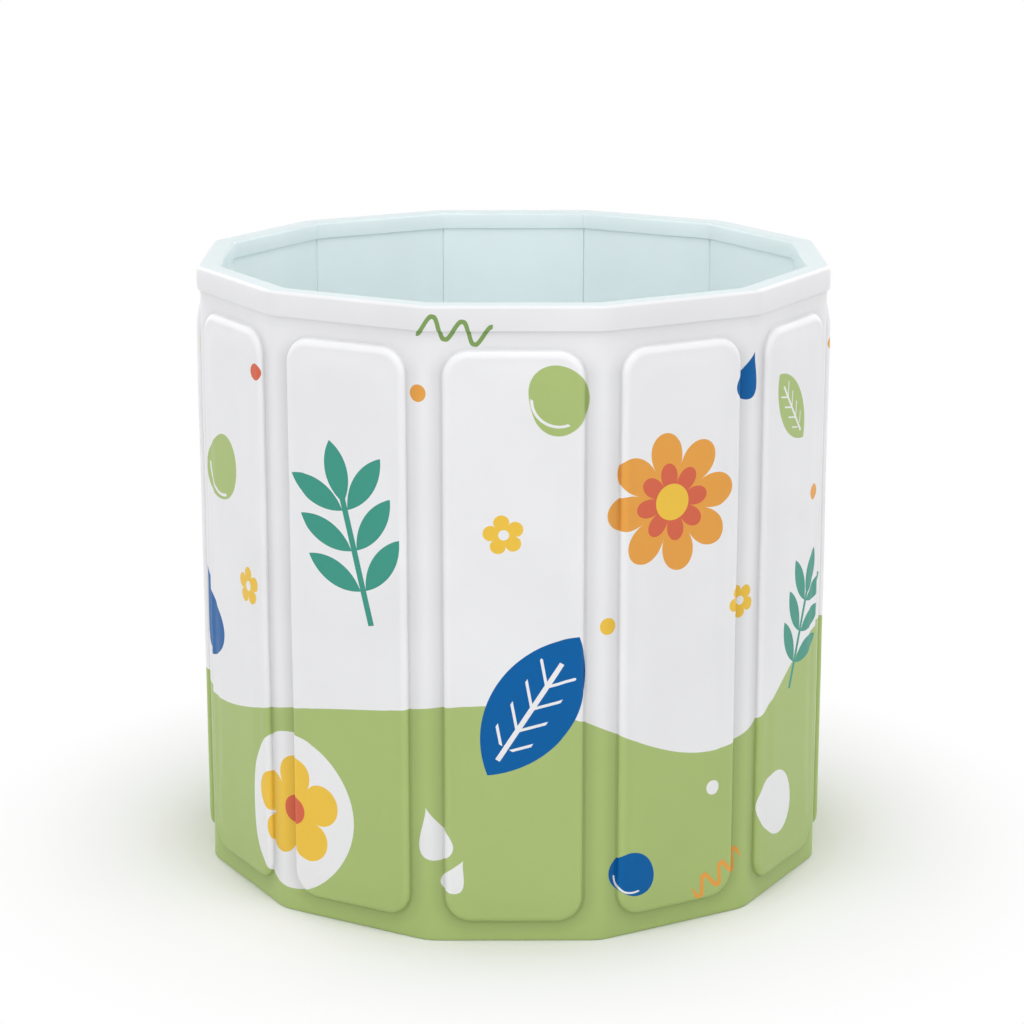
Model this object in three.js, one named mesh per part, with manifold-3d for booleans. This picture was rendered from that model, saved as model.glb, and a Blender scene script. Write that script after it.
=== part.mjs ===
// A foldable bathtub: twelve padded wall panels, hinged to each other along upright seams,
// stand round a soft floor. The walls fold like a concertina and the floor gathers between them.
// Millimetres, +Z up. The origin is the middle of the base, on the ground. Panel 01 faces -Y,
// and the panels are numbered anticlockwise seen from above.
import * as THREE from "three";
import { mergeVertices } from "three/addons/utils/BufferGeometryUtils.js";
import Module from "manifold-3d";

// The whole tub
const PANEL_COUNT = 12;
const BODY_ACROSS_FLATS = 684; // without the raised pads
const HEIGHT = 680;

// Clearances and cuts
const SEAT_GAP = 0.3; // between faces that touch
const SEAM_GAP = 0.4; // between two panels at their upright seam
const CUT_OVERRUN = 5; // how far a cutting solid runs past what it cuts
const PAD_ROOT = 1; // how deep a pad is rooted in the sheet that it rises from

// The layers of a wall, from the outside in
const COVER_THICKNESS = 3;
const FOAM_THICKNESS = 14;
const LINER_THICKNESS = 2.4;
const HEM_THICKNESS = 2.5; // the cover's fold under the wall
const FOAM_END_MARGIN = 9; // soft seam between a foam board's end and the panel's end
const FOAM_EDGE_RADIUS = 5;

// The raised pad that is pressed into each cover
const PAD_RISE = 8;
const PAD_CROWN = 1.2; // part of the rise that lies in the pad's gentle crown
const PAD_SIDE_MARGIN = 19.5;
const PAD_TOP_MARGIN = 19;
const PAD_FOOT_MARGIN = 23;
const PAD_CORNER_RADIUS = 28;
const PAD_SHOULDER = 9; // width of the rounded edge
const CORNER_STEPS = 5;
const SHOULDER_STEPS = 4;
const CROWN_INSET_SHARES = [0.35, 0.7]; // rings of the crown, as shares of the pad's half width

// The rim band that caps the wall
const RIM_HEIGHT = 26;
const RIM_LIP_HEIGHT = 20; // its inner lip
const RIM_TOP_THICKNESS = 3.4;
const RIM_OUTER_THICKNESS = 2.7;
const RIM_LIP_THICKNESS = 2;
const RIM_EDGE_RADIUS = 4.5;
const RIM_EDGE_STEPS = 4;

// The floor, from the ground up
const BASE_SHEET_THICKNESS = 2;
const FLOOR_FOAM_THICKNESS = 8;
const FLOOR_LINER_THICKNESS = 2.4;

// The drain, in the foot of panel 07
const DRAIN_PANEL = 7;
const DRAIN_AXIS_HEIGHT = 40;
const DRAIN_BORE_RADIUS = 8;
const DRAIN_TUBE_WALL = 2.5;
const DRAIN_TUBE_REACH = 15; // past the outer face of the wall
const DRAIN_FLANGE_RADIUS = 21;
const DRAIN_FLANGE_THICKNESS = 2.5;
const GASKET_MARGIN = 2; // by which the flange reaches past the gasket
const GASKET_THICKNESS = 1.6;
const LOCK_NUT_RADIUS = 18; // over its corners
const LOCK_NUT_THICKNESS = 7;
const PAD_RECESS_CLEARANCE = 4; // round the washer, where the pad is pressed flat
const STRAINER_THICKNESS = 2;
const STRAINER_HOLE_RADIUS = 1.4;
const STRAINER_RING_RADIUS = 4.6;
const STRAINER_HOLE_COUNT = 6;
const PLUG_SHANK_LENGTH = 11;
const PLUG_TAPER = 0.6; // how much slimmer the shank is at its inner end
const PLUG_HEAD_RADIUS = 13;
const PLUG_HEAD_THICKNESS = 3;
const PLUG_TAB_WIDTH = 12;
const PLUG_TAB_LENGTH = 9;
const PLUG_TAB_THICKNESS = 3;
const PLUG_TAB_ROOT = 1; // how deep the tab is rooted in the head
const ROUND_STEPS = 32;
const NUT_SIDES = 6;

// Places worked out from the sizes above
const STEP_ANGLE = (2 * Math.PI) / PANEL_COUNT;
const HALF_TAN = Math.tan(STEP_ANGLE / 2);
const SEAM_SETBACK = SEAM_GAP / 2 / Math.cos(STEP_ANGLE / 2);
const COVER_OUTER = BODY_ACROSS_FLATS / 2;
const COVER_INNER = COVER_OUTER - COVER_THICKNESS;
const FOAM_OUTER = COVER_INNER - SEAT_GAP;
const FOAM_INNER = FOAM_OUTER - FOAM_THICKNESS;
const LINER_OUTER = FOAM_INNER - SEAT_GAP;
const LINER_INNER = LINER_OUTER - LINER_THICKNESS;
const LAYER_FOOT = HEM_THICKNESS + SEAT_GAP;
const WALL_TOP = HEIGHT - RIM_TOP_THICKNESS - SEAT_GAP;
const PAD_WIDTH = 2 * (COVER_OUTER * HALF_TAN - PAD_SIDE_MARGIN);
const PAD_TOP = HEIGHT - RIM_HEIGHT - PAD_TOP_MARGIN;
const PAD_LENGTH = PAD_TOP - PAD_FOOT_MARGIN;
const PAD_MIDDLE = (PAD_TOP + PAD_FOOT_MARGIN) / 2;
const DRAIN_TUBE_RADIUS = DRAIN_BORE_RADIUS + DRAIN_TUBE_WALL;
const WALL_BORE_RADIUS = DRAIN_TUBE_RADIUS + SEAT_GAP;
const GASKET_RADIUS = DRAIN_FLANGE_RADIUS - GASKET_MARGIN;
const PAD_RECESS_RADIUS = GASKET_RADIUS + PAD_RECESS_CLEARANCE;
const GASKET_INNER_FACE = LINER_INNER - SEAT_GAP - GASKET_THICKNESS;
const WASHER_OUTER_FACE = COVER_OUTER + SEAT_GAP + GASKET_THICKNESS;
const DRAIN_TUBE_END = COVER_OUTER + DRAIN_TUBE_REACH;

// Materials
const printedVinyl = material(0xe8e9eb, 0.38);
const whiteVinyl = material(0xededee, 0.32);
const linerVinyl = material(0xe3eef0, 0.4);
const whiteFoam = material(0xf2f2ee, 0.95);
const groundSheet = material(0xd5d8d8, 0.6);
const whitePlastic = material(0xf0f1f2, 0.3);
const greyRubber = material(0x6f7478, 0.8);
const bluePlug = material(0x2f6ea3, 0.55);

function material(color, roughness) {
  return new THREE.MeshStandardMaterial({ color, roughness, metalness: 0 });
}

// Joining and cutting of closed geometries

const wasm = await Module();
wasm.setup();

function solidOf(geometry) {
  const bare = geometry.clone();
  bare.deleteAttribute("normal");
  bare.deleteAttribute("uv");
  const merged = mergeVertices(bare);
  const mesh = new wasm.Mesh({
    numProp: 3,
    vertProperties: merged.attributes.position.array,
    triVerts: new Uint32Array(merged.index.array),
  });
  return new wasm.Manifold(mesh);
}

function geometryOf(solid) {
  const mesh = solid.getMesh();
  return closedGeometry(mesh.vertProperties, mesh.triVerts);
}

function closedGeometry(positions, indices) {
  const geometry = new THREE.BufferGeometry();
  geometry.setAttribute("position", new THREE.BufferAttribute(Float32Array.from(positions), 3));
  geometry.setIndex(new THREE.BufferAttribute(Uint32Array.from(indices), 1));
  geometry.computeVertexNormals();
  return geometry;
}

// A bar along one side of the ring. Its profile holds points (distance from the axis, height),
// and its ends follow the seam planes that it shares with its neighbours.
function mitredBar(profile) {
  const points = THREE.ShapeUtils.isClockWise(profile) ? [...profile].reverse() : profile;
  const positions = [];
  for (const point of points) {
    const reach = point.x * HALF_TAN - SEAM_SETBACK;
    positions.push(-reach, -point.x, point.y);
    positions.push(reach, -point.x, point.y);
  }
  const indices = [];
  for (let i = 0; i < points.length; i += 1) {
    const j = (i + 1) % points.length;
    indices.push(2 * i, 2 * i + 1, 2 * j + 1);
    indices.push(2 * i, 2 * j + 1, 2 * j);
  }
  for (const [a, b, c] of THREE.ShapeUtils.triangulateShape(points, [])) {
    indices.push(2 * a, 2 * b, 2 * c);
    indices.push(2 * c + 1, 2 * b + 1, 2 * a + 1);
  }
  return closedGeometry(positions, indices);
}

function slabProfile(inner, outer, foot, top) {
  return [
    new THREE.Vector2(inner, foot),
    new THREE.Vector2(outer, foot),
    new THREE.Vector2(outer, top),
    new THREE.Vector2(inner, top),
  ];
}

// The outline of a rectangle with round corners, anticlockwise, about its own middle.
function roundedRectangle(width, length, radius, steps) {
  const outline = [];
  for (let corner = 0; corner < 4; corner += 1) {
    const across = corner === 0 || corner === 3 ? 1 : -1;
    const along = corner < 2 ? 1 : -1;
    for (let step = 0; step <= steps; step += 1) {
      const angle = (corner + step / steps) * (Math.PI / 2);
      const x = across * (width / 2 - radius) + radius * Math.cos(angle);
      const y = along * (length / 2 - radius) + radius * Math.sin(angle);
      outline.push(new THREE.Vector2(x, y));
    }
  }
  return outline;
}

// The raised pad: rings of the same outline, drawn in as they rise over the round shoulder
// and then over the gentle crown.
function padGeometry() {
  const rings = [{ inset: 0, rise: -PAD_ROOT }];
  for (let step = 0; step <= SHOULDER_STEPS; step += 1) {
    const angle = (step / SHOULDER_STEPS) * (Math.PI / 2);
    rings.push({
      inset: PAD_SHOULDER * (1 - Math.cos(angle)),
      rise: (PAD_RISE - PAD_CROWN) * Math.sin(angle),
    });
  }
  for (const share of CROWN_INSET_SHARES) {
    rings.push({
      inset: PAD_SHOULDER + share * (PAD_WIDTH / 2 - PAD_SHOULDER),
      rise: PAD_RISE - PAD_CROWN * (1 - share) ** 2,
    });
  }
  const positions = [];
  for (const { inset, rise } of rings) {
    const width = PAD_WIDTH - 2 * inset;
    const radius = Math.min(PAD_CORNER_RADIUS, width / 2);
    for (const point of roundedRectangle(width, PAD_LENGTH - 2 * inset, radius, CORNER_STEPS)) {
      positions.push(point.x, -COVER_OUTER - rise, PAD_MIDDLE + point.y);
    }
  }
  const count = 4 * (CORNER_STEPS + 1);
  const indices = [];
  for (let ring = 0; ring + 1 < rings.length; ring += 1) {
    for (let i = 0; i < count; i += 1) {
      const here = ring * count + i;
      const next = ring * count + ((i + 1) % count);
      indices.push(here, next, next + count);
      indices.push(here, next + count, here + count);
    }
  }
  const last = (rings.length - 1) * count;
  for (let i = 1; i + 1 < count; i += 1) {
    indices.push(0, i + 1, i);
    indices.push(last, last + i, last + i + 1);
  }
  return closedGeometry(positions, indices);
}

// Solids that cut the drain's way through the wall of panel 07. Their axis runs along Y.

function drainCutter(radius, from, to) {
  const cylinder = new THREE.CylinderGeometry(radius, radius, to - from, ROUND_STEPS);
  cylinder.translate(0, -(from + to) / 2, DRAIN_AXIS_HEIGHT);
  return solidOf(cylinder);
}

function withDrainBore(geometry) {
  const from = LINER_INNER - CUT_OVERRUN;
  const to = DRAIN_TUBE_END + CUT_OVERRUN;
  return geometryOf(solidOf(geometry).subtract(drainCutter(WALL_BORE_RADIUS, from, to)));
}

// The pieces of a panel

function coverProfile() {
  return [
    new THREE.Vector2(LINER_INNER, 0),
    new THREE.Vector2(COVER_OUTER, 0),
    new THREE.Vector2(COVER_OUTER, WALL_TOP),
    new THREE.Vector2(COVER_INNER, WALL_TOP),
    new THREE.Vector2(COVER_INNER, HEM_THICKNESS),
    new THREE.Vector2(LINER_INNER, HEM_THICKNESS),
  ];
}

function coverGeometry(holdsDrain) {
  let pad = solidOf(padGeometry());
  if (holdsDrain) {
    const top = COVER_OUTER + PAD_RISE + CUT_OVERRUN;
    pad = pad.subtract(drainCutter(PAD_RECESS_RADIUS, COVER_OUTER, top));
  }
  return geometryOf(solidOf(mitredBar(coverProfile())).add(pad));
}

function foamGeometry() {
  const width = 2 * (FOAM_INNER * HALF_TAN - FOAM_END_MARGIN);
  const outline = roundedRectangle(width, FOAM_THICKNESS, FOAM_EDGE_RADIUS, CORNER_STEPS);
  const depth = WALL_TOP - LAYER_FOOT;
  const board = new THREE.ExtrudeGeometry(new THREE.Shape(outline), { depth, bevelEnabled: false });
  board.translate(0, -(FOAM_INNER + FOAM_OUTER) / 2, LAYER_FOOT);
  return geometryOf(solidOf(board));
}

function linerGeometry() {
  return mitredBar(slabProfile(LINER_INNER, LINER_OUTER, LAYER_FOOT, WALL_TOP));
}

// The rim is a channel, open downwards, with two round upper edges.
function rimGeometry() {
  const outer = COVER_OUTER + SEAT_GAP + RIM_OUTER_THICKNESS;
  const inner = LINER_INNER - SEAT_GAP - RIM_LIP_THICKNESS;
  const profile = [new THREE.Vector2(outer, HEIGHT - RIM_HEIGHT)];
  for (let step = 0; step <= RIM_EDGE_STEPS; step += 1) {
    profile.push(roundEdgePoint(outer - RIM_EDGE_RADIUS, step / RIM_EDGE_STEPS));
  }
  for (let step = 0; step <= RIM_EDGE_STEPS; step += 1) {
    profile.push(roundEdgePoint(inner + RIM_EDGE_RADIUS, 1 + step / RIM_EDGE_STEPS));
  }
  profile.push(new THREE.Vector2(inner, HEIGHT - RIM_LIP_HEIGHT));
  profile.push(new THREE.Vector2(LINER_INNER - SEAT_GAP, HEIGHT - RIM_LIP_HEIGHT));
  profile.push(new THREE.Vector2(LINER_INNER - SEAT_GAP, HEIGHT - RIM_TOP_THICKNESS));
  profile.push(new THREE.Vector2(COVER_OUTER + SEAT_GAP, HEIGHT - RIM_TOP_THICKNESS));
  profile.push(new THREE.Vector2(COVER_OUTER + SEAT_GAP, HEIGHT - RIM_HEIGHT));
  return mitredBar(profile);
}

function roundEdgePoint(centre, quarters) {
  const angle = quarters * (Math.PI / 2);
  const x = centre + RIM_EDGE_RADIUS * Math.cos(angle);
  const y = HEIGHT - RIM_EDGE_RADIUS + RIM_EDGE_RADIUS * Math.sin(angle);
  return new THREE.Vector2(x, y);
}

// The floor sheets fill the ring inside the liner, one on the other.

function floorSheet(name, apothem, foot, thickness, finish) {
  const outline = [];
  for (let i = 0; i < PANEL_COUNT; i += 1) {
    const angle = (i + 0.5) * STEP_ANGLE - Math.PI / 2;
    const radius = apothem / Math.cos(STEP_ANGLE / 2);
    outline.push(new THREE.Vector2(radius * Math.cos(angle), radius * Math.sin(angle)));
  }
  const options = { depth: thickness, bevelEnabled: false };
  const sheet = new THREE.ExtrudeGeometry(new THREE.Shape(outline), options);
  sheet.translate(0, 0, foot);
  return namedMesh(name, sheet, finish);
}

function floorSheets() {
  const apothem = LINER_INNER - SEAT_GAP;
  const foamFoot = BASE_SHEET_THICKNESS + SEAT_GAP;
  const linerFoot = foamFoot + FLOOR_FOAM_THICKNESS + SEAT_GAP;
  return [
    floorSheet("base_sheet", apothem, 0, BASE_SHEET_THICKNESS, groundSheet),
    floorSheet("floor_foam", apothem, foamFoot, FLOOR_FOAM_THICKNESS, whiteFoam),
    floorSheet("floor_liner", apothem, linerFoot, FLOOR_LINER_THICKNESS, linerVinyl),
  ];
}

// The drain's pieces. A turned profile holds points (radius, distance from the tub's axis).

function turned(profile, sides = ROUND_STEPS) {
  const points = profile.map(([radius, reach]) => new THREE.Vector2(radius, reach));
  const lathe = new THREE.LatheGeometry(points, sides);
  lathe.rotateX(Math.PI);
  lathe.translate(0, 0, DRAIN_AXIS_HEIGHT);
  return geometryOf(solidOf(lathe));
}

function ringProfile(inner, outer, from, to) {
  return [
    [inner, from],
    [outer, from],
    [outer, to],
    [inner, to],
    [inner, from],
  ];
}

function drainFitting() {
  const flangeInner = GASKET_INNER_FACE - SEAT_GAP - DRAIN_FLANGE_THICKNESS;
  return turned([
    [DRAIN_BORE_RADIUS, flangeInner],
    [DRAIN_FLANGE_RADIUS, flangeInner],
    [DRAIN_FLANGE_RADIUS, flangeInner + DRAIN_FLANGE_THICKNESS],
    [DRAIN_TUBE_RADIUS, flangeInner + DRAIN_FLANGE_THICKNESS],
    [DRAIN_TUBE_RADIUS, DRAIN_TUBE_END],
    [DRAIN_BORE_RADIUS, DRAIN_TUBE_END],
    [DRAIN_BORE_RADIUS, flangeInner],
  ]);
}

function strainerGeometry() {
  const disc = new THREE.Shape();
  disc.absarc(0, 0, DRAIN_BORE_RADIUS - SEAT_GAP, 0, 2 * Math.PI);
  const centres = [new THREE.Vector2(0, 0)];
  for (let i = 0; i < STRAINER_HOLE_COUNT; i += 1) {
    const angle = (i / STRAINER_HOLE_COUNT) * 2 * Math.PI;
    const x = STRAINER_RING_RADIUS * Math.cos(angle);
    centres.push(new THREE.Vector2(x, STRAINER_RING_RADIUS * Math.sin(angle)));
  }
  for (const centre of centres) {
    const hole = new THREE.Path();
    hole.absarc(centre.x, centre.y, STRAINER_HOLE_RADIUS, 0, 2 * Math.PI, true);
    disc.holes.push(hole);
  }
  const options = { depth: STRAINER_THICKNESS, bevelEnabled: false, curveSegments: NUT_SIDES };
  const strainer = new THREE.ExtrudeGeometry(disc, options);
  strainer.rotateX(Math.PI / 2);
  const flangeInner = GASKET_INNER_FACE - SEAT_GAP - DRAIN_FLANGE_THICKNESS;
  strainer.translate(0, -flangeInner, DRAIN_AXIS_HEIGHT);
  return geometryOf(solidOf(strainer));
}

function lockNutGeometry() {
  const foot = WASHER_OUTER_FACE + SEAT_GAP;
  const top = foot + LOCK_NUT_THICKNESS;
  const blank = [
    [0, foot],
    [LOCK_NUT_RADIUS, foot],
    [LOCK_NUT_RADIUS, top],
    [0, top],
  ];
  return withDrainBore(turned(blank, NUT_SIDES));
}

function plugGeometry() {
  const shank = DRAIN_BORE_RADIUS - SEAT_GAP;
  const headFoot = DRAIN_TUBE_END + SEAT_GAP;
  const headTop = headFoot + PLUG_HEAD_THICKNESS;
  const body = turned([
    [0, headFoot - PLUG_SHANK_LENGTH],
    [shank - PLUG_TAPER, headFoot - PLUG_SHANK_LENGTH],
    [shank, headFoot],
    [PLUG_HEAD_RADIUS, headFoot],
    [PLUG_HEAD_RADIUS, headTop],
    [0, headTop],
  ]);
  const tab = new THREE.BoxGeometry(PLUG_TAB_WIDTH, PLUG_TAB_LENGTH + PLUG_TAB_ROOT, PLUG_TAB_THICKNESS);
  tab.translate(0, -(headTop + (PLUG_TAB_LENGTH - PLUG_TAB_ROOT) / 2), DRAIN_AXIS_HEIGHT);
  return geometryOf(solidOf(body).add(solidOf(tab)));
}

function drainPieces() {
  const ringBore = WALL_BORE_RADIUS;
  const gasket = ringProfile(ringBore, GASKET_RADIUS, GASKET_INNER_FACE, LINER_INNER - SEAT_GAP);
  const washer = ringProfile(ringBore, GASKET_RADIUS, COVER_OUTER + SEAT_GAP, WASHER_OUTER_FACE);
  return [
    namedMesh("drain_fitting", drainFitting(), whitePlastic),
    namedMesh("drain_gasket", turned(gasket), greyRubber),
    namedMesh("drain_washer", turned(washer), greyRubber),
    namedMesh("drain_lock_nut", lockNutGeometry(), whitePlastic),
    namedMesh("drain_strainer", strainerGeometry(), whitePlastic),
    namedMesh("drain_plug", plugGeometry(), bluePlug),
  ];
}

// Assembly

function namedMesh(name, geometry, finish) {
  const mesh = new THREE.Mesh(geometry, finish);
  mesh.name = name;
  return mesh;
}

function panel(number) {
  const holdsDrain = number === DRAIN_PANEL;
  const pierced = (geometry) => (holdsDrain ? withDrainBore(geometry) : geometry);
  const label = String(number).padStart(2, "0");
  const group = new THREE.Group();
  group.add(
    namedMesh(`cover_${label}`, pierced(coverGeometry(holdsDrain)), printedVinyl),
    namedMesh(`foam_board_${label}`, pierced(foamGeometry()), whiteFoam),
    namedMesh(`liner_${label}`, pierced(linerGeometry()), linerVinyl),
    namedMesh(`rim_${label}`, rimGeometry(), whiteVinyl),
  );
  if (holdsDrain) group.add(...drainPieces());
  group.rotation.z = (number - 1) * STEP_ANGLE;
  return group;
}

const bathtub = new THREE.Group();
for (let number = 1; number <= PANEL_COUNT; number += 1) {
  bathtub.add(panel(number));
}
bathtub.add(...floorSheets());

export default bathtub;
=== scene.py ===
"""A foldable bathtub: padded wall panels joined by soft seams, a rim band, a liner and a soft floor."""
from math import atan2, ceil, copysign, cos, pi, radians, sin, sqrt, tan

import bmesh
import bpy
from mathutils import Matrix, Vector, noise
from mathutils.bvhtree import BVHTree


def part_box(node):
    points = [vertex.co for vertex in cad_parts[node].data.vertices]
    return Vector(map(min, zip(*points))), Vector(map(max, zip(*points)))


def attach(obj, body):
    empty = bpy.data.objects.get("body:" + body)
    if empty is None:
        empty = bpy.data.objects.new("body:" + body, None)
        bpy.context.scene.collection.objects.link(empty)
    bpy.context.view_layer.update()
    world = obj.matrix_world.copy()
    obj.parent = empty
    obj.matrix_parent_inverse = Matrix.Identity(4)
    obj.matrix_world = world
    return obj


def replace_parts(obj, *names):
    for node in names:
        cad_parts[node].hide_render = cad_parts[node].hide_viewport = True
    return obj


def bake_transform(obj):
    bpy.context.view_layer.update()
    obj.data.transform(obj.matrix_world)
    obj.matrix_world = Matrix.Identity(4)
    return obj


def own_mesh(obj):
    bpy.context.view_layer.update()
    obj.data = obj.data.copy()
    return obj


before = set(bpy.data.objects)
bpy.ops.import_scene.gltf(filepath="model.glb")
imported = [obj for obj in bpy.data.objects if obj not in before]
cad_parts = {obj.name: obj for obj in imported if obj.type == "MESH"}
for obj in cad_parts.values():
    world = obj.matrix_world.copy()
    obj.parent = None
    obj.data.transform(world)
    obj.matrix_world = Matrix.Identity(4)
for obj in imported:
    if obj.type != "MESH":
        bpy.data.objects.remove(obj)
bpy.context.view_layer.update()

# Sizes that come from the frame, in metres
WALL_COUNT = 12
WALLS = range(1, WALL_COUNT + 1)
STEP_ANGLE = 2 * pi / WALL_COUNT
HALF_TAN = tan(STEP_ANGLE / 2)
HALF_COS = cos(STEP_ANGLE / 2)
HALF_SIN = sin(STEP_ANGLE / 2)

liner_low, liner_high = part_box("liner_01")
rim_low, rim_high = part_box("rim_01")

RIM_PROUD = 0.003  # how far the rim band stands out past the cover
RIM_OUTER = -rim_low.y
RIM_INNER = -rim_high.y
RIM_FOOT = rim_low.z
HEIGHT = rim_high.z
COVER_THICKNESS = 0.003
COVER_OUTER = RIM_OUTER - RIM_PROUD
COVER_INNER = COVER_OUTER - COVER_THICKNESS
LINER_OUTER = -liner_low.y
LINER_INNER = -liner_high.y
LAYER_FOOT = liner_low.z
WALL_TOP = liner_high.z
FLOOR_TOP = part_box("floor_liner")[1].z
SIDE = 2 * COVER_OUTER * HALF_TAN

# The raised pads
PAD_RISE = 0.008
PAD_CROWN = 0.0014
PAD_WIDTH = SIDE - 0.039
PAD_FOOT = 0.023
PAD_TOP = 0.635
PAD_CORNER = 0.028
PAD_SHOULDER = 0.0085
PAD_ROUNDNESS = 2.3  # the power of the shoulder's curve: 2 is a quarter of an ellipse
PAD_GROOVE = 0.0034
PAD_GROOVE_DEPTH = 0.0006
PAD_GROOVE_SPAN = 1.35 * PAD_GROOVE
PAD_LENGTH = PAD_TOP - PAD_FOOT
PAD_MIDDLE = (PAD_TOP + PAD_FOOT) / 2

# The soft skins and the seams between the panels
SEAM_HALF = 0.012
SEAM_RADIUS = 0.0445
SEAM_STEPS = 16
SPLIT_GAP = 0.00012
WEB = 0.0004  # the skin that stays whole across an outward fold
TONGUE = 0.0008  # the strip that backs the open seam
TONGUE_OUTER = COVER_INNER - 0.0003
TONGUE_START = -0.0032
TONGUE_END = 0.0061
FLAP_CLEAR = 0.0003
FLAP_SWEEP = 0.0024  # room for the liner's far half, which passes under the strip as the seam opens
CREASE = 0.0024
HEM_HEIGHT = 0.0048
HEM_ROUND = 0.0022
RIM_ROUND = 0.0036
ROW = 0.016
PLIANCE = 0.0006  # how far the skins wander from a true plane
PLIANCE_SPAN = 0.13
SHARP_SKIN = 50  # degrees

# Seams, each named by the wall before it
OUTWARD_FOLDS = (2, 4, 8, 10)  # the outer faces of their walls meet as the tub folds
OPEN_SEAM = 6  # the one seam of the closed ring that has no joint of its own


# Places on the ring of walls

def outward(angle):
    return Vector((cos(angle), sin(angle), 0))


def along(angle):
    return Vector((-sin(angle), cos(angle), 0))


def ring_point(angle, across, reach, height):
    return outward(angle) * reach + along(angle) * across + Vector((0, 0, height))


def wall_angle(wall):
    return -pi / 2 + (wall - 1) * STEP_ANGLE


def wall_point(wall, across, apothem, height):
    return ring_point(wall_angle(wall), across, apothem, height)


def seam_point(wall, across, reach, height):
    return ring_point(wall_angle(wall) + STEP_ANGLE / 2, across, reach, height)


def wall_end(apothem):
    return apothem * HALF_TAN - SEAM_HALF / HALF_COS


def seam_reach(apothem, across):
    """How far out the skin at this apothem lies, round the corner between two walls."""
    radius = SEAM_RADIUS - COVER_OUTER + apothem
    if abs(across) < radius * HALF_SIN:
        return (apothem - radius) / HALF_COS + sqrt(radius * radius - across * across)
    return apothem / HALF_COS - abs(across) * HALF_TAN


def next_wall(wall):
    return wall % WALL_COUNT + 1


def pair_name(wall):
    return f"{wall:02d}_{next_wall(wall):02d}"


def body_name(wall):
    return f"wall_{wall:02d}"


def halves(wall):
    """The label, the side and the body of each half of a seam that is split."""
    return ("a", -1, body_name(wall)), ("b", 1, body_name(next_wall(wall)))


def relaxed(point):
    """The point, moved in or out a little as a soft skin lies."""
    flat = Vector((point.x, point.y, 0))
    if flat.length < SEAM_HALF:
        return point
    drift = noise.noise(point / PLIANCE_SPAN) + 0.4 * noise.noise(point / (0.37 * PLIANCE_SPAN))
    return point + flat.normalized() * (PLIANCE * drift)


def spread(start, end, steps):
    return [start + (end - start) * i / steps for i in range(steps + 1)]


# Meshes

def linked(name, data):
    made = bpy.data.objects.new(name, data)
    bpy.context.scene.collection.objects.link(made)
    return made


def new_object(name, shape):
    points, faces = shape
    mesh = bpy.data.meshes.new(name)
    mesh.from_pydata([tuple(p) for p in points], [], faces)
    return linked(name, mesh)


def new_piece(name, shape, finish, body=None, sharp=38):
    """A piece from its points and faces. Its finish is a material and a slot name, which is not used."""
    piece = new_object(name, shape)
    mesh = piece.data
    welded = bmesh.new()
    welded.from_mesh(mesh)
    bmesh.ops.remove_doubles(welded, verts=welded.verts, dist=1e-6)
    bmesh.ops.recalc_face_normals(welded, faces=welded.faces)
    welded.to_mesh(mesh)
    welded.free()
    finish_mesh(piece, sharp)
    material, slot = finish
    mesh.materials.append(material)
    if body:
        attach(piece, body)
    return piece


def finish_mesh(piece, sharp):
    """Smooth shading with sharp edges kept, and the rest place and the print's place on each point."""
    mesh = piece.data
    mesh.shade_smooth()
    mesh.set_sharp_from_angle(angle=radians(sharp))
    for name in ("rest_place", "unrolled"):
        if name not in mesh.attributes:
            mesh.attributes.new(name, "FLOAT_VECTOR", "POINT")
    rest = mesh.attributes["rest_place"].data
    flat = mesh.attributes["unrolled"].data
    middle = sum((vertex.co for vertex in mesh.vertices), Vector()) / len(mesh.vertices)
    for vertex in mesh.vertices:
        rest[vertex.index].vector = vertex.co
        flat[vertex.index].vector = unrolled(vertex.co, middle)


def turn_of(point):
    return (atan2(point.y, point.x) + pi / 2) % (2 * pi)


def unrolled(point, middle):
    """The distance round the cover from the middle of wall 01, the height, and the distance from the axis.
    The piece's middle says which turn is counted, so that no piece straddles the start."""
    start = turn_of(middle)
    turn = start + (turn_of(point) - start + pi) % (2 * pi) - pi
    wall = round(turn / STEP_ANGLE)
    angle = wall * STEP_ANGLE - pi / 2
    across = point.dot(along(angle))
    apothem = max(point.dot(outward(angle)), SEAM_HALF)
    return Vector((wall * SIDE + across * COVER_OUTER / apothem, point.z, apothem))


def looped(loops, closed=True):
    """Points and faces of a tube through loops of equal length. A closed one ends where it starts."""
    count = len(loops[0])
    faces = []
    for number in range(len(loops) if closed else len(loops) - 1):
        here = number * count
        there = (number + 1) % len(loops) * count
        for i in range(count):
            j = (i + 1) % count
            faces.append((here + i, here + j, there + j, there + i))
    return [point for loop in loops for point in loop], faces


def bridged(loops, thin=False):
    """Points and faces of a tube with both ends capped.
    The ends of a thin sheet are strips of quads, which stay flat as the sheet bends."""
    points, faces = looped(loops, closed=False)
    count = len(loops[0])
    for start in (0, len(points) - count):
        cap = [start + i for i in range(count)]
        if thin:
            faces += [(cap[i], cap[i + 1], cap[-2 - i], cap[-1 - i]) for i in range(count // 2 - 1)]
        else:
            faces.append(tuple(cap))
    return points, faces


def upright(plan, foot):
    """Loops of a plan outline, one above the other."""
    rises = [Vector((0, 0, height)) for height in spread(foot, WALL_TOP, ceil((WALL_TOP - foot) / ROW))]
    return [[relaxed(point + rise) for point in plan] for rise in rises]


# Material nodes

def linear(*screen):
    """A colour as seen on screen, 0 to 255, in linear light."""
    shares = [part / 255 for part in screen]
    return (*(s / 12.92 if s <= 0.04045 else ((s + 0.055) / 1.055) ** 2.4 for s in shares), 1)


def spelled(operation, swapped=False):
    """A sign or a word between fields, which adds a math node."""
    def apply(one, *others):
        values = (*others, one) if swapped else (one, *others)
        return one.nodes.add("Math", *values, operation=operation)

    return apply


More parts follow.
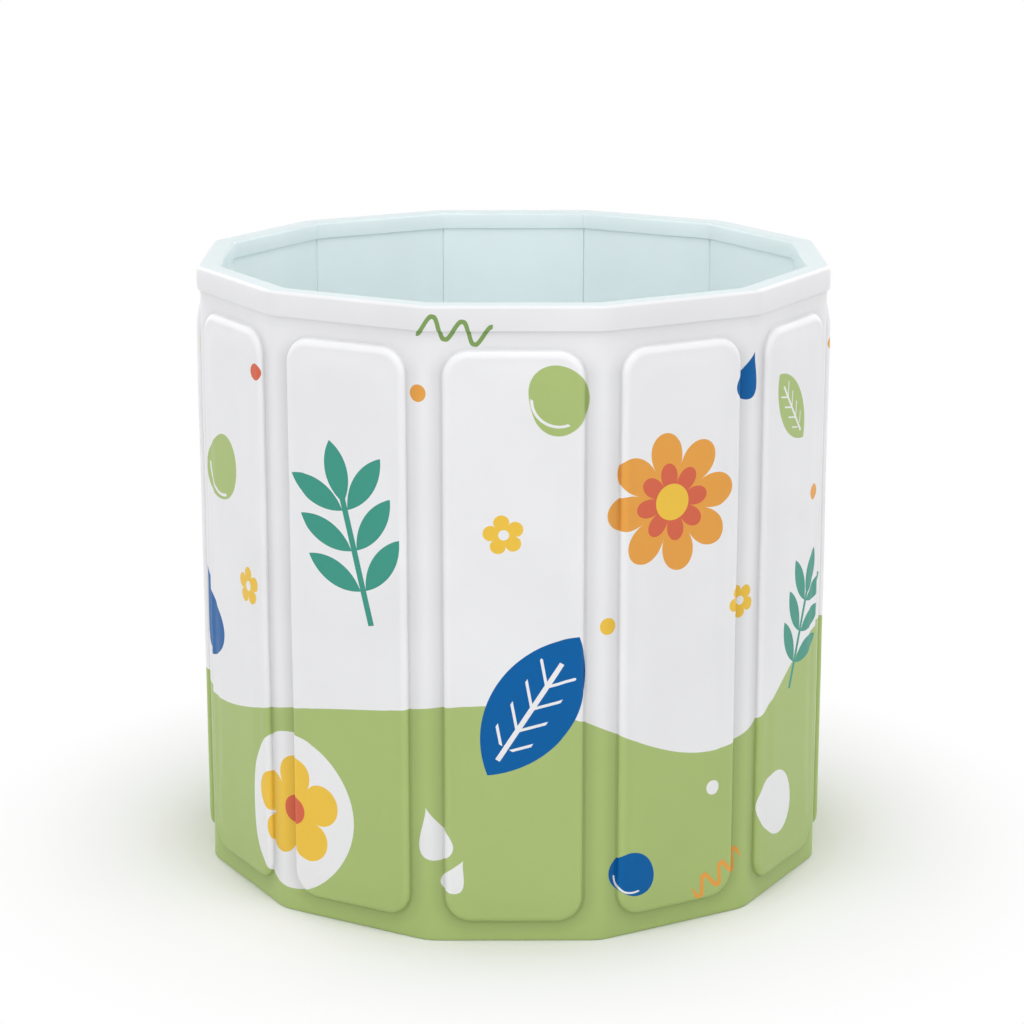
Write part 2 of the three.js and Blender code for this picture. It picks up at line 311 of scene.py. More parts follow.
class Field:
    """A value that varies over a surface, for arithmetic with other fields and with numbers."""

    def __init__(self, nodes, socket):
        self.nodes = nodes
        self.socket = socket

    __add__ = spelled("ADD")
    __sub__ = spelled("SUBTRACT")
    __rsub__ = spelled("SUBTRACT", swapped=True)
    __mul__ = spelled("MULTIPLY")
    __truediv__ = spelled("DIVIDE")
    __pow__ = spelled("POWER")
    __mod__ = spelled("FLOORED_MODULO")
    __lt__ = spelled("LESS_THAN")
    __abs__ = spelled("ABSOLUTE")
    larger = spelled("MAXIMUM")
    smaller = spelled("MINIMUM")
    rounded = spelled("ROUND")
    root = spelled("SQRT")
    sine = spelled("SINE")
    cosine = spelled("COSINE")
    angle = spelled("ARCTAN2")

    def ramp(self, low, high, to_low, to_high, kind="LINEAR"):
        """Goes from to_low to to_high as this field goes from low to high."""
        values = (self, low, high, to_low, to_high)
        return self.nodes.add("MapRange", *values, interpolation_type=kind)


class Nodes:
    """A node tree that grows by plain calls."""

    def __init__(self, tree):
        self.tree = tree

    def node(self, kind, **settings):
        """A new node. A setting that has the name of an input is fed to it."""
        made = self.tree.nodes.new("ShaderNode" + kind)
        for name, value in settings.items():
            if name in made.inputs:
                self.feed(made.inputs[name], value)
            else:
                setattr(made, name, value)
        return made

    def feed(self, socket, value):
        if isinstance(value, Field):
            value = value.socket
        if isinstance(value, bpy.types.NodeSocket):
            self.tree.links.new(value, socket)
        else:
            socket.default_value = value

    def add(self, kind, *values, **settings):
        """A new node's first output, after its first inputs are fed."""
        made = self.node(kind, **settings)
        for socket, value in zip(made.inputs, values):
            self.feed(socket, value)
        return Field(self, made.outputs[0])

    def shown_where(self, share, plain, shown, output):
        """Mixes in a second shader by a share, for the camera, reflections and clear materials."""
        rays = self.node("LightPath").outputs
        seen = Field(self, rays["Is Camera Ray"])
        for kind in ("Is Glossy Ray", "Is Transmission Ray"):
            seen = seen.larger(rays[kind])
        self.feed(output, self.add("MixShader", seen * share, plain, shown))


class Surface(Nodes):
    """A material that is built up from named parts."""

    def __init__(self, name, roughness, specular=0.3):
        self.material = bpy.data.materials.new(name)
        self.material.use_nodes = True
        super().__init__(self.material.node_tree)
        self.shader = self.tree.nodes["Principled BSDF"]
        self.part("Roughness", roughness)
        self.part("Specular IOR Level", specular)

    def part(self, name, value):
        self.feed(self.shader.inputs[name], value)

    def place(self, name="rest_place"):
        return Field(self, self.node("Attribute", attribute_name=name).outputs["Vector"])

    def own_place(self):
        return Field(self, self.node("TexCoord").outputs["Object"])

    def split(self, vector):
        return [Field(self, output) for output in self.node("SeparateXYZ", Vector=vector).outputs]

    def noise(self, vector, span, detail=2):
        made = self.node("TexNoise", Vector=vector, Scale=1 / span, Detail=detail)
        return Field(self, made.outputs["Fac"])

    def mix(self, factor, under, over, blend="MIX"):
        made = self.node("Mix", data_type="RGBA", blend_type=blend, Factor=factor)
        self.feed(made.inputs[6], under)
        self.feed(made.inputs[7], over)
        return Field(self, made.outputs[2])

    def dimmed(self, color, tone):
        """The colour times a tone from 0 to 1."""
        return self.mix(1.0, color, self.add("CombineColor", tone, tone, tone), "MULTIPLY")

    def lit(self, color, share):
        """The colour, brighter by a share of itself."""
        return self.mix(share, color, self.mix(1.0, color, color, "ADD"))

    def bump(self, height, distance, **under):
        return Field(self, self.node("Bump", Height=height, Distance=distance, **under).outputs[0])


# The print: a hilly green foot and scattered garden motifs, repeated twice round the tub

WHITE = linear(233, 233, 235)
GREEN = linear(168, 188, 118)
DEEP_GREEN = linear(128, 160, 92)
BLUE = linear(0, 93, 160)
ORANGE = linear(228, 160, 74)
YELLOW = linear(236, 193, 72)
TEAL = linear(64, 150, 133)
RUST = linear(212, 102, 76)
LINER_COLOR = linear(238, 249, 250)
# a darker copy of the liner's tint for the rim's top: painted shade against the light from above
WRAP_SHADED_COLOR = linear(219, 230, 232)
BLACK = (0, 0, 0, 1)
REPEAT = WALL_COUNT / 2 * SIDE
HILL_HEIGHT = 0.236
HILL_RISE = 0.034
HILL_RIPPLE = 0.014
SQUIGGLE_RISE = 0.28
SPRIG_LEAF = 0.36
SPRIG_LEAN = radians(48)
TOP_LEAF = 0.34


def far_out(x, y):
    return (x * x + y * y).root()


def disc(x, y, radius=1.0):
    return far_out(x, y) < radius


def leaf(x, y, fat):
    """A pointed oval of half length 1 and half width fat, along y."""
    offset = (1 - fat * fat) / (2 * fat)
    wide = abs(x) + offset
    return wide * wide + y * y < offset * offset + 1


def bar(x, y, half_width, low, high):
    return (abs(x) < half_width) * (abs(y - (low + high) / 2) < (high - low) / 2)


def petals(x, y, count, core):
    """Round petals: the radius swings between core and 1."""
    swing = abs((x.angle(y) * (count / 2)).cosine())
    return far_out(x, y) < swing.root() * (1 - core) + core


def drop(x, y):
    return x * x < (1.0 - y).larger(0.0) ** 3.0 * (y + 1.0) * 0.24


def pebble(x, y):
    turn = x.angle(y)
    dent = (turn * 2.0 + 0.7).sine() * 0.08
    bulge = (turn * 3.0 + 2.1).sine() * 0.035
    return far_out(x, y) < dent + bulge + 0.93


def squiggle(x, y, waves, width):
    phase = x * (waves * pi)
    slope = phase.cosine() * (SQUIGGLE_RISE * waves * pi)
    off = abs(y - phase.sine() * SQUIGGLE_RISE) / (slope * slope + 1.0).root()
    return (off < width) * (abs(x) < 1.0)


class Print:
    """Motifs drawn with plain shapes on the unrolled cover."""

    def __init__(self, surface):
        self.surface = surface
        around, self.up, self.reach = surface.split(surface.place("unrolled"))
        self.around = (around + REPEAT / 2) % REPEAT - REPEAT / 2
        self.far_around = around % REPEAT - REPEAT / 2
        self.ink = WHITE

    def paint(self, mask, color):
        self.ink = self.surface.mix(mask, self.ink, color)

    def local(self, around, up, size, tilt=0):
        """Coordinates about a motif's middle, turned by tilt in degrees, 1 at its size."""
        if abs(around) > REPEAT / 4:
            dx = self.far_around - (around - REPEAT / 2 if around > 0 else around + REPEAT / 2)
        else:
            dx = self.around - around
        dz = self.up - up
        scaled_cos = cos(radians(tilt)) / size
        scaled_sin = sin(radians(tilt)) / size
        return dx * scaled_cos + dz * scaled_sin, dz * scaled_cos - dx * scaled_sin

    def hills(self):
        turn = self.around * (2 * pi / REPEAT)
        slow = (turn * 2.0 + 2.5).sine() * HILL_RISE
        quick = (turn * 3.0 + 0.4).sine() * HILL_RIPPLE
        self.paint(self.up < slow + quick + HILL_HEIGHT, GREEN)

    def shape(self, kind, spot, color, *details):
        self.paint(kind(*self.local(*spot), *details), color)

    def shiny_pebble(self, spot, color):
        """A pebble with a thin bow inside its edge."""
        self.shape(pebble, spot, color)
        x, y = self.local(*spot[:3], -35)
        self.paint((abs(far_out(x, y) - 0.76) < 0.04) * (y < -0.42), WHITE)

    def sprig(self, spot, color):
        x, y = self.local(*spot)
        shape = bar(x, y, 0.035, -1.0, 0.6)
        out = abs(x) - 0.30
        lean_cos = cos(SPRIG_LEAN) / SPRIG_LEAF
        lean_sin = sin(SPRIG_LEAN) / SPRIG_LEAF
        for height in (-0.62, -0.18, 0.26):
            rise = y - (height + 0.24)
            side_leaf = leaf(out * lean_cos - rise * lean_sin, rise * lean_cos + out * lean_sin, 0.36)
            shape = shape.larger(side_leaf)
        shape = shape.larger(leaf(x / TOP_LEAF, (y - 0.68) / TOP_LEAF, 0.4))
        self.paint(shape, color)

    def flower(self, spot, count, color, heart, inner=None):
        x, y = self.local(*spot)
        self.paint(petals(x, y, count, 0.52), color)
        if inner:
            self.paint(petals(x / 0.56, y / 0.56, count, 0.45), inner)
        self.paint(disc(x, y, 0.26), heart)

    def big_leaf(self, spot, color, vein):
        x, y = self.local(*spot)
        self.paint(leaf(x, y, 0.5), color)
        self.paint(bar(x, y, 0.03, -0.78, 0.62), vein)
        rung = (y - abs(x) * 1.1 + 0.7) % 0.32
        self.paint((rung < 0.05) * bar(x, y, 0.24, -0.6, 0.55), vein)

    def waves(self):
        """Two wavy lines. The green one crosses onto the rim."""
        self.shape(squiggle, (0.236, 0.05, 0.036, 24), ORANGE, 3, 0.07)
        self.shape(squiggle, (-0.06, 0.655, 0.038, -10), DEEP_GREEN, 2.5, 0.06)


def cover_print_and_painted_light(surface):
    """The whole print, with painted shade and highlights round the pads. A motif's spot is its place round
    the tub, its height, its size and its tilt.
    """
    art = Print(surface)
    art.hills()
    for *spot, color in (
        (-0.255, 0.115, 0.088, 20, WHITE),
        (0.335, 0.105, 0.04, 75, WHITE),
        (-0.52, 0.09, 0.03, 15, YELLOW),
    ):
        art.shape(pebble, spot, color)
    for *spot, color in (
        (-0.392, 0.47, 0.04, -30, GREEN),
        (0.045, 0.585, 0.036, 35, GREEN),
        (0.128, 0.07, 0.027, 80, BLUE),
    ):
        art.shiny_pebble(spot, color)
    for spot in ((-0.176, 0.435, 0.098, 14), (0.392, 0.3, 0.078, -22)):
        art.sprig(spot, TEAL)
    for *spot, color, vein in (
        (0.02, 0.262, 0.088, -32, BLUE, WHITE),
        (0.352, 0.545, 0.05, 38, GREEN, WHITE),
        (0.528, 0.14, 0.062, 28, WHITE, GREEN),
    ):
        art.big_leaf(spot, color, vein)
    art.flower((0.17, 0.47, 0.074, 8), 8, ORANGE, YELLOW, RUST)
    art.flower((-0.255, 0.118, 0.06, 0), 5, YELLOW, RUST)
    art.flower((0.552, 0.465, 0.066, 12), 9, BLUE, YELLOW)
    for *spot, color in (
        (-0.01, 0.445, 0.021, 10, YELLOW),
        (-0.33, 0.352, 0.021, 0, YELLOW),
        (0.262, 0.35, 0.019, 30, YELLOW),
        (0.498, 0.588, 0.019, 5, ORANGE),
    ):
        art.flower(spot, 5, color, WHITE)
    for *spot, color in (
        (-0.438, 0.3, 0.052, 25, BLUE),
        (0.268, 0.592, 0.026, -20, BLUE),
        (-0.085, 0.12, 0.03, 15, WHITE),
        (-0.06, 0.075, 0.02, -25, WHITE),
        (-0.508, 0.345, 0.024, -15, TEAL),
    ):
        art.shape(drop, spot, color)
    for *spot, color in (
        (-0.098, 0.59, 0.009, ORANGE),
        (0.098, 0.345, 0.009, YELLOW),
        (-0.305, 0.59, 0.009, RUST),
        (0.415, 0.438, 0.009, ORANGE),
        (0.225, 0.15, 0.008, WHITE),
        (-0.47, 0.59, 0.008, YELLOW),
    ):
        art.shape(disc, spot, color)
    art.waves()
    return with_painted_shade_and_highlights(surface, art.ink)


# Painted shade round the pads and under the rim, and painted highlights on the pads' edges

RELIEF_SHADE = 0.13
RELIEF_SHADE_TOP = 0.02
RELIEF_SPAN = 0.022
RELIEF_EDGE = 0.0012
RELIEF_LIGHT = 0.035
RELIEF_LIGHT_TOP = 0.095
LIGHT_START = (-0.0018, -0.0004)
LIGHT_END = (-0.0095, -0.0050)
UNDER_RIM_SHADE = 0.05
UNDER_RIM_SPAN = 0.014
RIM_LINE_SHADE = 0.05
RIM_LINE_SPAN = 0.0055
RIM_SHADE = 0.028
RIM_LIGHT = 0.05


def pad_distance(around, up):
    """The distance from the pad's outline: below 0 on the pad, above 0 off it."""
    across = abs(around - (around / SIDE).rounded() * SIDE) - (PAD_WIDTH / 2 - PAD_CORNER)
    rise = abs(up - PAD_MIDDLE) - (PAD_LENGTH / 2 - PAD_CORNER)
    return far_out(across.larger(0.0), rise.larger(0.0)) + across.larger(rise).smaller(0.0) - PAD_CORNER


def with_painted_shade_and_highlights(surface, ink):
    """The ink with painted shade round each pad and under the rim, and a painted highlight along the pad's
    edge, strongest on top.
    """
    around, up, _ = surface.split(surface.place("unrolled"))
    distance = pad_distance(around, up)
    pad_arch = PAD_TOP - PAD_CORNER
    fade = distance.ramp(0, RELIEF_SPAN, 1, 0, "SMOOTHERSTEP")
    depth = up.ramp(pad_arch, PAD_TOP, RELIEF_SHADE, RELIEF_SHADE_TOP, "SMOOTHSTEP")
    off_pad = distance.ramp(-RELIEF_EDGE, 0, 0, 1)
    under = up.ramp(RIM_FOOT - UNDER_RIM_SPAN, RIM_FOOT, 0, UNDER_RIM_SHADE)
    line = up.ramp(RIM_FOOT - RIM_LINE_SPAN, RIM_FOOT, 0, RIM_LINE_SHADE)
    # painted shade: a dark line and band under the rim, and a fade round each pad, faint above it
    shade = (under + line) * (up < RIM_FOOT + 0.0002) + fade * depth * off_pad
    # painted highlight: a band just inside the pad's edge, strongest along its top, none along its foot
    rising = distance.ramp(*LIGHT_START, 1, 0, "SMOOTHSTEP")
    falling = distance.ramp(*LIGHT_END, 0, 1, "SMOOTHSTEP")
    high = up.ramp(pad_arch, PAD_TOP - 0.3 * PAD_CORNER, RELIEF_LIGHT, RELIEF_LIGHT_TOP)
    low = up.ramp(PAD_FOOT, PAD_FOOT + PAD_CORNER, 0, 1)
    return surface.lit(surface.dimmed(ink, 1.0 - shade), rising * falling * high * low)


def rim_print_and_painted_light(surface):
    """White outside with painted shade all over and a painted highlight on its top edge; the liner's tint
    inside, a darker one on top as painted shade.
    """
    art = Print(surface)
    art.waves()
    edge = HEIGHT - RIM_ROUND
    light = art.up.ramp(edge, edge + 0.6 * RIM_ROUND, 0, RIM_SHADE + RIM_LIGHT, "SMOOTHSTEP")
    wrapped = art.reach.ramp(RIM_OUTER - RIM_ROUND - 0.0004, RIM_OUTER - RIM_ROUND, 1, 0)
    inside = art.reach.ramp(RIM_INNER + 0.0002, RIM_INNER + 0.0012, 1, 0)
    # painted shade over the whole band, and a painted highlight along its top outer edge
    ink = surface.lit(surface.mix(RIM_SHADE, art.ink, BLACK), light)
    return surface.mix(inside, surface.mix(wrapped, ink, WRAP_SHADED_COLOR), LINER_COLOR)


# Materials

VINYL_GLOSS = 0.12
CLOUD_SPAN = 0.09
SHEEN_SPAN = 0.02
GRAIN_SPAN = 0.0011
RIPPLE_SPAN = 0.035
GRAIN_DEPTH = 0.00004
RIPPLE_DEPTH = 0.00045


def vinyl(name, ink, rough=(0.28, 0.38), specular=VINYL_GLOSS, coat=0.02, coat_roughness=0.18):
    """Soft vinyl in the colour that ink gives: cloudy gloss, a fine pressed grain and slow ripples."""
    surface = Surface(name, rough[0], specular)
    place = surface.place()
    cloud = surface.noise(place, CLOUD_SPAN).ramp(0.35, 0.65, 0.975, 1.0)
    surface.part("Base Color", surface.dimmed(ink(surface), cloud))
    surface.part("Roughness", surface.noise(place, SHEEN_SPAN, 4).ramp(0.3, 0.7, *rough))
    grain = surface.bump(surface.noise(place, GRAIN_SPAN), GRAIN_DEPTH)
    surface.part("Normal", surface.bump(surface.noise(place, RIPPLE_SPAN), RIPPLE_DEPTH, Normal=grain))
    surface.part("Coat Weight", coat)
    surface.part("Coat Roughness", coat_roughness)
    return surface.material


def foam():
    surface = Surface("foam", 0.95, 0.2)
    depth = surface.node("TexVoronoi", Vector=surface.own_place(), Scale=900).outputs["Distance"]
    # painted shade: the colour is darker in the cells' hollows, where the bump dips
    surface.part("Base Color", surface.mix(depth, linear(214, 214, 208), linear(244, 244, 240)))
    surface.part("Normal", surface.bump(depth, 0.0003))
    return surface.material


def moulded(name, color, roughness, grain=0.00003):
    surface = Surface(name, roughness)
    place = surface.own_place()
    cloud = surface.noise(place, 0.01, 3)
    darker = tuple(part * 0.93 for part in color[:3]) + (1,)
    surface.part("Base Color", surface.mix(cloud, darker, color))
    surface.part("Roughness", cloud.ramp(0.3, 0.7, roughness - 0.06, roughness + 0.06))
    surface.part("Normal", surface.bump(surface.noise(place, 0.0008), grain))
    return surface.material


PRINTED = (vinyl("printed_vinyl", cover_print_and_painted_light), "printed_cover")
RIM_VINYL = (vinyl("rim_vinyl", rim_print_and_painted_light), "rim_band")
LINER = (vinyl("liner_vinyl", lambda surface: LINER_COLOR, (0.3, 0.42), 0.3, 0.06, 0.2), "liner")
PLASTIC = (moulded("white_plastic", linear(238, 239, 240), 0.3), "drain_plastic")
RUBBER = (moulded("grey_rubber", linear(104, 108, 112), 0.75, 0.00008), "gasket_rubber")
PLUG = (moulded("blue_rubber", linear(38, 100, 158), 0.5, 0.00006), "plug_rubber")
FOAM = foam()


# The padded cover of each wall

CORNER_STEPS = 8
LONG_STEPS = 60
SHORT_STEPS = 10
BORDER_SHARES = (0.34, 0.67)
GROOVE_INSETS = (-PAD_GROOVE, -0.0024, -0.0016, -0.0009, -0.0003)
SHOULDER_SHARES = (0, 0.02, 0.06, 0.12, 0.2, 0.3, 0.42, 0.56, 0.72, 0.88, 1)
CROWN_SHARES = (0.08, 0.18, 0.3, 0.44, 0.6, 0.8, 1)
STRIP_HALF = 0.004  # half the width of the quads in the pad's middle
STRIP_CORNER = 0.003
CROWN_CAP = 0.011  # the rise at which the blown form is cut off
FORM_THICKNESS = 0.005
FORM_VOXEL = 0.0045
FORM_PRESSURE = 4
FORM_FRAMES = 20


def rounded_outline(width, length, radius):
    """Points (across, up) about the middle, anticlockwise from the right side's top arc."""
    outline = []
    signs = ((1, 1), (-1, 1), (-1, -1), (1, -1))
    corners = [Vector((x * (width / 2 - radius), y * (length / 2 - radius))) for x, y in signs]
    for turn, middle in enumerate(corners):
        arc_end = (turn + 1) * pi / 2
        for angle in spread(turn * pi / 2, arc_end, CORNER_STEPS):
            outline.append(middle + radius * Vector((cos(angle), sin(angle))))
        start = outline[-1]
        end = corners[(turn + 1) % 4] + radius * Vector((cos(arc_end), sin(arc_end)))
        steps = SHORT_STEPS if turn % 2 == 0 else LONG_STEPS
        outline += [start.lerp(end, i / steps) for i in range(1, steps)]
    return outline


def border_outline(half_width):
    """The pad's outline pushed out to a rectangle, from the hem to the top of the wall."""
    border = []
    for point in rounded_outline(PAD_WIDTH, PAD_LENGTH, PAD_CORNER):
        across = abs(point.x)
        up = abs(point.y)
        core_across = max(across - (PAD_WIDTH / 2 - PAD_CORNER), 0)
        core_up = max(up - (PAD_LENGTH / 2 - PAD_CORNER), 0)
        limit = WALL_TOP - PAD_MIDDLE if point.y > 0 else PAD_MIDDLE - HEM_HEIGHT
        most = max(core_across, core_up)
        across += (half_width - across) * core_across / most
        up += (limit - up) * core_up / most
        border.append(Vector((copysign(across, point.x), copysign(up, point.y))))
    return border


def groove_depth(inset):
    return PAD_GROOVE_DEPTH * sin(pi * (inset + PAD_GROOVE) / PAD_GROOVE_SPAN) ** 2


def shoulder(inset):
    """The pad's rise over its round edge, and the shallow groove that it springs from."""
    if inset <= -PAD_GROOVE:
        return 0
    if inset < 0:
        return -groove_depth(inset)
    share = min(inset / PAD_SHOULDER, 1)
    start = -groove_depth(0)
    rise = (1 - (1 - share) ** PAD_ROUNDNESS) ** (1 / PAD_ROUNDNESS)
    return start + (PAD_RISE - PAD_CROWN - start) * rise


def pad_rings():
    """Pairs of outline and inset, from the flat margin to the middle of the pad."""
    insets = [*GROOVE_INSETS, *(share * PAD_SHOULDER for share in SHOULDER_SHARES)]
    places = [(inset, PAD_CORNER - inset) for inset in insets]
    for share in CROWN_SHARES:
        inset = PAD_SHOULDER + share * (PAD_WIDTH / 2 - STRIP_HALF - PAD_SHOULDER)
        places.append((inset, (PAD_CORNER - PAD_SHOULDER) * (1 - share) + STRIP_CORNER * share))
    return [(rounded_outline(PAD_WIDTH - 2 * inset, PAD_LENGTH - 2 * inset, radius), inset)
            for inset, radius in places]


def inflated_pad():
    """A slack foam pad blown up as cloth, for the crown and the small folds of a real one."""
    outline = rounded_outline(PAD_WIDTH - 0.004, PAD_LENGTH - 0.004, PAD_CORNER)
    loops = [[Vector((p.x, depth, p.y)) for p in outline] for depth in (0, -FORM_THICKNESS)]
    form = new_object("pad_form", bridged(loops))
    bpy.context.view_layer.objects.active = form
    remesh = form.modifiers.new("remesh", "REMESH")
    remesh.mode = "VOXEL"
    remesh.voxel_size = FORM_VOXEL
    bpy.ops.object.modifier_apply(modifier=remesh.name)
    cloth = form.modifiers.new("cloth", "CLOTH")
    cloth.settings.use_pressure = True
    cloth.settings.uniform_pressure_force = FORM_PRESSURE
    cloth.settings.effector_weights.gravity = 0
    for number in range(1, FORM_FRAMES + 1):
        bpy.context.scene.frame_set(number)
    blown = form.evaluated_get(bpy.context.evaluated_depsgraph_get()).data
    moved = [vertex.co.copy() for vertex in blown.vertices]
    polygons = [tuple(polygon.vertices) for polygon in blown.polygons]
    bpy.context.scene.frame_set(1)
    tree = BVHTree.FromPolygons(moved, polygons)
    bpy.data.objects.remove(form)
    return tree


def crown_map():
    """The crown's height, as a share of its greatest, at a place on the pad."""
    tree = inflated_pad()

    def share(across, up):
        hit = tree.ray_cast(Vector((across, -1, up)), Vector((0, 1, 0)))[0]
        depth = -hit.y if hit else 0
        return min(max(depth - FORM_THICKNESS, 0), CROWN_CAP) / CROWN_CAP

    return share


def cover_panel(wall, crown):
    """A cover with its pad. The crown is turned from wall to wall, so that neighbours differ."""
    flip = -1 if wall % 2 else 1
    turn = -1 if wall % 3 else 1

    def skin(p, rise=0):
        return relaxed(wall_point(wall, p.x, COVER_OUTER + rise, PAD_MIDDLE + p.y))

    rings = pad_rings()
    border = border_outline(wall_end(COVER_OUTER))
    back = border_outline(wall_end(COVER_INNER))
    loops = [[wall_point(wall, p.x, COVER_INNER, PAD_MIDDLE + p.y) for p in back]]
    loops.append([skin(p) for p in border])
    for share in reversed(BORDER_SHARES):
        loops.append([skin(start.lerp(end, share)) for start, end in zip(rings[0][0], border)])
    for outline, inset in rings:
        crowned = PAD_CROWN * min(max(inset, 0) / PAD_SHOULDER, 1)
        loops.append([skin(p, shoulder(inset) + crowned * crown(flip * p.x, turn * p.y)) for p in outline])
    points, faces = bridged(loops)
    faces.pop()
    faces += middle_strip(len(points) - len(border), len(border))
    return new_piece(f"cover_panel_{wall:02d}", (points, faces), PRINTED, sharp=SHARP_SKIN)


def middle_strip(start, count):
    """Quads across the innermost loop, from its right side to its left, in place of its cap."""
    side = CORNER_STEPS + LONG_STEPS + CORNER_STEPS
    top_left = CORNER_STEPS + SHORT_STEPS
    left = [start + top_left + i for i in range(side + 1)]
    right = [start + (CORNER_STEPS - i) % count for i in range(side + 1)]
    strip = [(left[i], left[i + 1], right[i + 1], right[i]) for i in range(side)]
    strip.append(tuple(start + i for i in range(CORNER_STEPS, top_left + 1)))
    strip.append(tuple(start + top_left + side + i for i in range(SHORT_STEPS + 1)))
    return strip


def make_covers():
    crown = crown_map()
    for wall in WALLS:
        panel = cover_panel(wall, crown)
        if wall == DRAIN_WALL:
            press_drain_seat(panel)
        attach(panel, body_name(wall))
        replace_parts(panel, f"cover_{wall:02d}")
        new_piece(f"hem_{wall:02d}", wall_bar(wall, hem_profile()), PRINTED, body_name(wall))


# Bars along the walls and round the corners

RIM_FLANGE = 0.0027
RIM_LIP = 0.002
RIM_CEILING = HEIGHT - 0.0034
LIP_FOOT = HEIGHT - 0.020
RIM_BULGE = 0.0005
RIM_EDGE = 0.0009
HEM_OVERLAP = 0.0004
BAR_STEPS = 14


def arc(apothem, height, radius, start, end, steps):
    """Points of a bow about a middle, as (apothem, height)."""
    return [(apothem + radius * cos(a), height + radius * sin(a)) for a in spread(start, end, steps)]


def hem_profile():
    """The cover's fold under the wall, as (apothem, height)."""
    ledge = LAYER_FOOT - 0.0003
    profile = [(LINER_INNER, 0.0003), (LINER_INNER + 0.0004, 0)]
    profile += arc(COVER_OUTER - HEM_ROUND, HEM_ROUND, HEM_ROUND, -pi / 2, 0, 5)
    profile += [(COVER_OUTER, HEM_HEIGHT), (COVER_INNER, HEM_HEIGHT)]
    return profile + [(COVER_INNER - HEM_OVERLAP, ledge), (LINER_INNER, ledge)]


def rim_profile(part="whole"):
    """The rim band's section as (apothem, height): whole, or its cap, flange or outer skin alone."""
    inside = RIM_OUTER - RIM_FLANGE
    arch = HEIGHT - RIM_ROUND
    flange = arc(RIM_OUTER - RIM_EDGE, RIM_FOOT + RIM_EDGE, RIM_EDGE, -pi / 2, 0, 3)
    for share in (0.12, 0.3, 0.5, 0.7, 0.9):
        flange.append((RIM_OUTER + RIM_BULGE * sin(pi * share), RIM_FOOT + share * (arch - RIM_FOOT)))
    skin = flange + [(RIM_OUTER, arch)]
    under_skin = [(a - WEB, z) for a, z in skin]
    if part == "flange":
        return [(inside, arch), (inside, RIM_FOOT)] + under_skin
    if part == "skin":
        return skin + under_skin[::-1]
    middle = (RIM_OUTER + RIM_INNER) / 2
    cap = arc(RIM_OUTER - RIM_ROUND, arch, RIM_ROUND, 0, pi / 2, 7)
    cap += [(middle + 0.004, HEIGHT + 0.0003), (middle - 0.004, HEIGHT + 0.0003)]
    cap += arc(RIM_INNER + RIM_ROUND, arch, RIM_ROUND, pi / 2, pi, 7)
    cap += arc(RIM_INNER + RIM_EDGE, LIP_FOOT + RIM_EDGE, RIM_EDGE, pi, 1.5 * pi, 3)
    cap += [(RIM_INNER + RIM_LIP, LIP_FOOT), (RIM_INNER + RIM_LIP, RIM_CEILING), (inside, RIM_CEILING)]
    if part == "cap":
        return cap + [(inside, arch)]
    return flange + cap + [(inside, RIM_FOOT)]


def wall_bar(wall, profile):
    return bridged([[relaxed(wall_point(wall, share * wall_end(a), a, z)) for a, z in profile]
                    for share in spread(-1, 1, BAR_STEPS)])


def corner_bar(wall, profile, start=-SEAM_HALF, end=SEAM_HALF):
    steps = round(SEAM_STEPS * (end - start) / (2 * SEAM_HALF))
    return bridged([[relaxed(seam_point(wall, across, seam_reach(a, across), z)) for a, z in profile]
                    for across in spread(start, end, steps)])


def bend(piece):
    """Bakes a seam piece's place into its mesh."""
    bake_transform(piece)


def corner_pieces(name, wall, profile, finish, split):
    """A bar's corner: one bending piece, or a half for each wall."""
    name = f"{name}_{pair_name(wall)}"
    if not split:
        bend(new_piece(name, corner_bar(wall, profile), finish))
        return
    for label, side, body in halves(wall):
        ends = sorted((side * SEAM_HALF, side * SPLIT_GAP))
        new_piece(f"{name}_{label}", corner_bar(wall, profile, *ends), finish, body)


def make_rim():
    for wall in WALLS:
        bar = wall_bar(wall, rim_profile())
        band = new_piece(f"rim_band_{wall:02d}", bar, RIM_VINYL, body_name(wall))
        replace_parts(band, f"rim_{wall:02d}")
        if wall in OUTWARD_FOLDS:
            for part in ("skin", "flange", "cap"):
                corner_pieces(f"rim_{part}", wall, rim_profile(part), RIM_VINYL, part != "skin")
        else:
            corner_pieces("rim_corner", wall, rim_profile(), RIM_VINYL, wall == OPEN_SEAM)


# The skins along the walls and across the seams

PLACE_SHARES = (0, 0.03, 0.08, 0.16, 0.26, 0.38, 0.52, 0.68, 0.84, 1)


def skin_piece(name, plan, foot, finish, body=None, thin=True):
    """An upright skin from its plan outline, from the foot to the top of the wall."""
    return new_piece(name, bridged(upright(plan, foot), thin), finish, body, SHARP_SKIN)


def seam_dip(across):
    """The liner's weld crease: two round edges that meet at the corner."""
    if abs(across) >= CREASE:
        return 0
    return CREASE - sqrt(CREASE * CREASE - (CREASE - abs(across)) ** 2)


def seam_places(start, end):
    """Places across a seam, close together at its crease."""
    half = [share * SEAM_HALF for share in PLACE_SHARES]
    places = [-place for place in reversed(half)] + half[1:]
    return [place for place in places if start - 1e-6 <= place <= end + 1e-6]


def sheet_plan(wall, outer, inner, start, end, crease=False):
    """A plan outline for a sheet that crosses a seam between two apothems."""
    places = seam_places(start, end)
    plan = []
    for apothem, row in ((outer, places), (inner, places[::-1])):
        for across in row:
            dip = seam_dip(across) if crease else 0
            plan.append(seam_point(wall, across, seam_reach(apothem, across) + dip, 0))
    return plan


